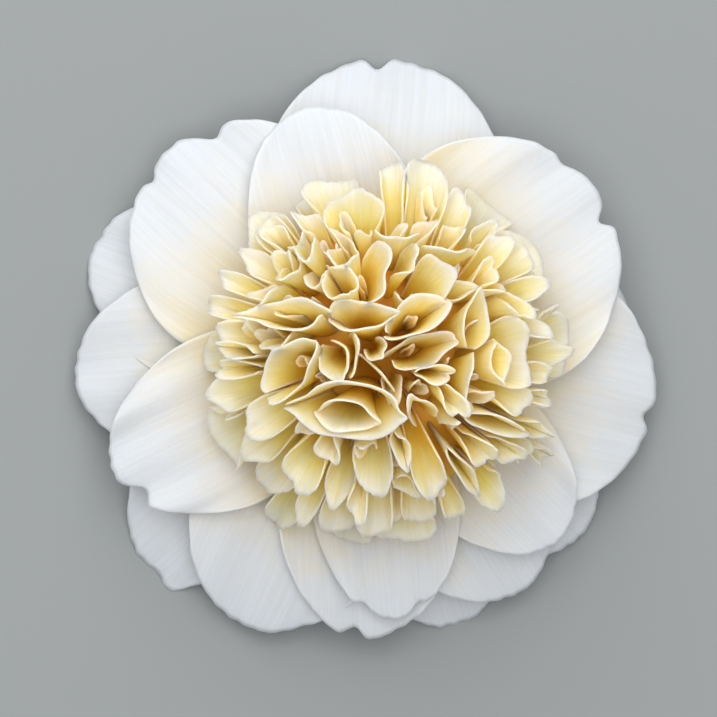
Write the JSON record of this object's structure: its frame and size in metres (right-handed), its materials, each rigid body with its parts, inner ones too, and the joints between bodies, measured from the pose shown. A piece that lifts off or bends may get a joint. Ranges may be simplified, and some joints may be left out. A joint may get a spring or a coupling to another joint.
{
  "type": "camellia flower",
  "caption": "Camellia bloom of the anemone form: layered white guard petals round a domed mound of small cream petaloids, with a green calyx below, lying face up.",
  "frame": {"origin": "middle of the flat scar under the calyx, where the bloom left its twig", "axes": "+Z along the flower's axis, up through the mound of petaloids; +Y towards the back petal; +X to the right"},
  "size_m": [0.0909, 0.0897, 0.0421],
  "materials": {
    "white_petal": "satin",
    "cream_petal": "satin",
    "sepal": "matte"
  },
  "bodies": {
    "root": {"guard_petals": "white_petal", "petaloids": "cream_petal", "calyx": "sepal"}
  },
  "joints": []
}
